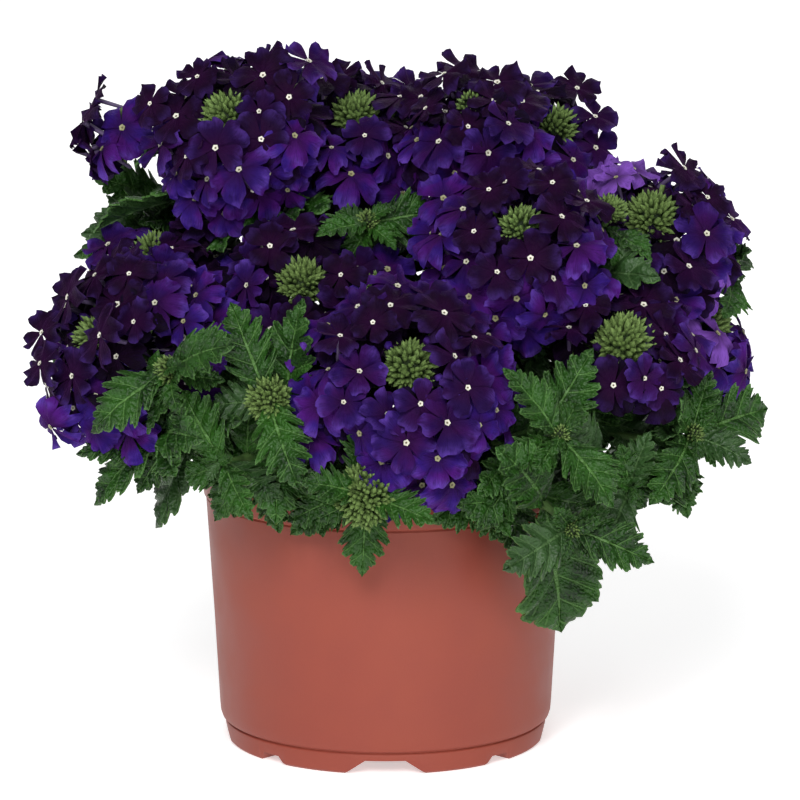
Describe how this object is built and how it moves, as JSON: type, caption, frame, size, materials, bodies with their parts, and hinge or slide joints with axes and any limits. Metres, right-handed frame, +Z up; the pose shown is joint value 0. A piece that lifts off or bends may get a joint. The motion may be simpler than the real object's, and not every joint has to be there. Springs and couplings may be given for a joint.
{
  "type": "potted garden verbena",
  "caption": "Bushy verbena with domed violet flower heads and toothed leaves on bent stems, growing in soil in a round tapered nursery pot.",
  "frame": {"origin": "on the ground under the middle of the pot's foot", "axes": "+Z up along the pot's axis, -Y towards the front with the fullest flower heads, +X to the right"},
  "size_m": [0.2515, 0.2249, 0.2375],
  "materials": {
    "pot_plastic": "satin terracotta-coloured moulded plastic",
    "soil": "crumbly dark potting compost",
    "petals": "velvety deep violet petals, nearly black where young",
    "foliage": "finely hairy wrinkled green leaves, stems and buds"
  },
  "bodies": {
    "root": {"pot": "pot_plastic", "soil": "soil", "florets_01": "petals", "florets_02": "petals", "florets_03": "petals", "florets_04": "petals", "florets_05": "petals", "florets_06": "petals", "florets_07": "petals", "florets_08": "petals", "florets_09": "petals", "florets_10": "petals", "florets_11": "petals", "florets_12": "petals", "florets_13": "petals", "florets_14": "petals", "florets_15": "petals", "florets_16": "petals", "florets_17": "petals", "florets_18": "petals", "flowering_stem_01": "foliage", "flowering_stem_02": "foliage", "flowering_stem_03": "foliage", "flowering_stem_04": "foliage", "flowering_stem_05": "foliage", "flowering_stem_06": "foliage", "flowering_stem_07": "foliage", "flowering_stem_08": "foliage", "flowering_stem_09": "foliage", "flowering_stem_10": "foliage", "flowering_stem_11": "foliage", "flowering_stem_12": "foliage", "flowering_stem_13": "foliage", "flowering_stem_14": "foliage", "flowering_stem_15": "foliage", "flowering_stem_16": "foliage", "flowering_stem_17": "foliage", "flowering_stem_18": "foliage", "leafy_shoot_01": "foliage", "leafy_shoot_02": "foliage", "leafy_shoot_03": "foliage", "leafy_shoot_04": "foliage", "leafy_shoot_05": "foliage", "leafy_shoot_06": "foliage", "leafy_shoot_07": "foliage", "leafy_shoot_08": "foliage", "leafy_shoot_09": "foliage", "leafy_shoot_10": "foliage", "leafy_shoot_11": "foliage", "leafy_shoot_12": "foliage", "leafy_shoot_13": "foliage", "leafy_shoot_14": "foliage", "leafy_shoot_15": "foliage", "leafy_shoot_16": "foliage", "leafy_shoot_17": "foliage", "leafy_shoot_18": "foliage"}
  },
  "joints": []
}
